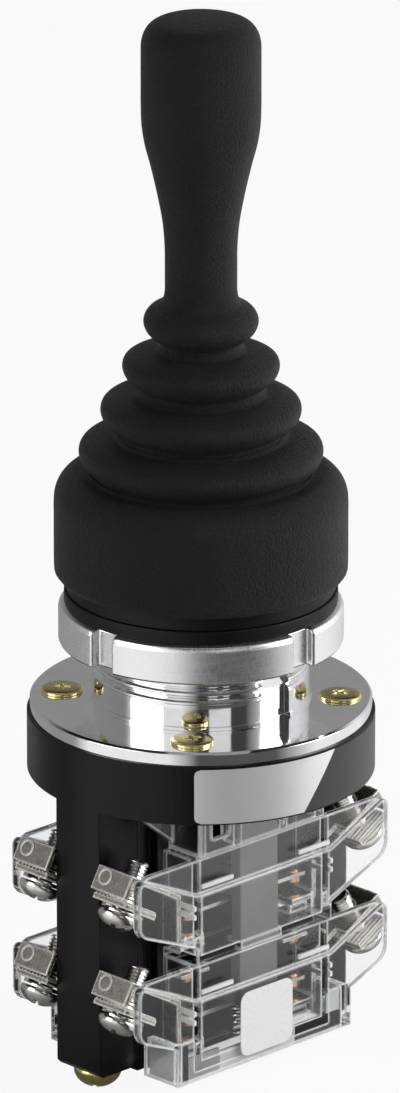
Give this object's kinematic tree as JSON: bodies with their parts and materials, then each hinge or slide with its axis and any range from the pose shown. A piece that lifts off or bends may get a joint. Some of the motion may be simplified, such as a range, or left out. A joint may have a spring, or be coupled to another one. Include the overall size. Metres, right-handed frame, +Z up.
{
  "type": "industrial joystick",
  "caption": "Four-direction panel-mount lever switch with a bellows boot, threaded neck and ring nut, and clear screw-terminal contact housings below.",
  "frame": {"origin": "centre of the flange plate's top face, where the panel sits, on the neck's axis", "axes": "+Z up the lever, -Y towards the keyway, X through the two legs"},
  "size_m": [0.0526, 0.0482, 0.1506],
  "materials": {
    "grip_black": "fine grain",
    "boot_rubber": "fine grain",
    "seal_rubber": "matte",
    "inner_black": "matte",
    "nut_aluminium": "turned, satin",
    "neck_chrome": "polished",
    "yellow_zinc": "yellow passivated zinc",
    "frame_black": "moulded satin",
    "cover_grey": "matte",
    "clear_plastic": "clear moulded",
    "pushrod_grey": "moulded",
    "nickel": "nickel plated",
    "bridge_metal": "plain strip",
    "copper": "copper contact rivet",
    "spring_steel": "drawn wire",
    "steel": "turned steel"
  },
  "bodies": {
    "base": {"gimbal_carrier": "steel", "rubber_boot": "boot_rubber", "boot_collar": "inner_black", "seal_gasket": "seal_rubber", "ring_nut": "nut_aluminium", "neck_flange": "neck_chrome", "flange_screws": "yellow_zinc", "frame_body": "frame_black", "leg_screws": "yellow_zinc", "contact_core": "frame_black", "core_cover": "cover_grey", "adapter_guides": "clear_plastic", "fixed_contacts": "copper", "terminal_screws": "nickel", "clamp_plates": "nickel", "spring_washers": "nickel", "housing_front_upper": "clear_plastic", "terminal_strip_front_upper_right": "nickel", "terminal_strip_front_upper_left": "nickel", "return_spring_front_upper": "spring_steel", "housing_front_lower": "clear_plastic", "terminal_strip_front_lower_right": "nickel", "terminal_strip_front_lower_left": "nickel", "return_spring_front_lower": "spring_steel", "housing_rear_upper": "clear_plastic", "terminal_strip_rear_upper_right": "nickel", "terminal_strip_rear_upper_left": "nickel", "return_spring_rear_upper": "spring_steel", "housing_rear_lower": "clear_plastic", "terminal_strip_rear_lower_right": "nickel", "terminal_strip_rear_lower_left": "nickel", "return_spring_rear_lower": "spring_steel"},
    "gimbal": {"gimbal_ring": "steel", "pivot_pins_y": "steel"},
    "lever": {"grip": "grip_black", "lever_shaft": "steel", "rocker": "steel", "pivot_pin_x": "steel"},
    "plunger_front": {"pushrod_front": "pushrod_grey", "bridge_front_lower": "bridge_metal", "moving_contacts_front_lower": "copper"},
    "plunger_rear": {"pushrod_rear": "pushrod_grey", "bridge_rear_lower": "bridge_metal", "moving_contacts_rear_lower": "copper"},
    "plunger_left": {"pushrod_left": "pushrod_grey", "bridge_front_upper": "bridge_metal", "moving_contacts_front_upper": "copper"},
    "plunger_right": {"pushrod_right": "pushrod_grey", "bridge_rear_upper": "bridge_metal", "moving_contacts_rear_upper": "copper"}
  },
  "joints": [
    {"name": "lever_left_right", "type": "hinge", "parent": "base", "child": "gimbal", "pos_m": [0, 0, 0.003], "axis": [0, 1, 0], "range_deg": [-12, 12], "stiffness_Nm_per_rad": 1, "deforming": ["rubber_boot"]},
    {"name": "lever_front_rear", "type": "hinge", "parent": "gimbal", "child": "lever", "pos_m": [0, 0, 0.003], "axis": [1, 0, 0], "range_deg": [-12, 12], "stiffness_Nm_per_rad": 1, "deforming": ["rubber_boot"]},
    {"name": "plunger_front_slide", "type": "slide", "parent": "base", "child": "plunger_front", "axis": [0, 0, 1], "range_m": [-0.00175, 0.00175], "deforming": ["return_spring_front_lower"]},
    {"name": "plunger_rear_slide", "type": "slide", "parent": "base", "child": "plunger_rear", "axis": [0, 0, 1], "range_m": [-0.00175, 0.00175], "deforming": ["return_spring_rear_lower"]},
    {"name": "plunger_left_slide", "type": "slide", "parent": "base", "child": "plunger_left", "axis": [0, 0, 1], "range_m": [-0.00175, 0.00175], "deforming": ["return_spring_front_upper"]},
    {"name": "plunger_right_slide", "type": "slide", "parent": "base", "child": "plunger_right", "axis": [0, 0, 1], "range_m": [-0.00175, 0.00175], "deforming": ["return_spring_rear_upper"]}
  ],
  "couplings": [
    {"joint": "plunger_front_slide", "follows": "lever_front_rear", "m_per_rad": -0.0082},
    {"joint": "plunger_rear_slide", "follows": "lever_front_rear", "m_per_rad": 0.0082},
    {"joint": "plunger_left_slide", "follows": "lever_left_right", "m_per_rad": 0.0082},
    {"joint": "plunger_right_slide", "follows": "lever_left_right", "m_per_rad": -0.0082}
  ]
}
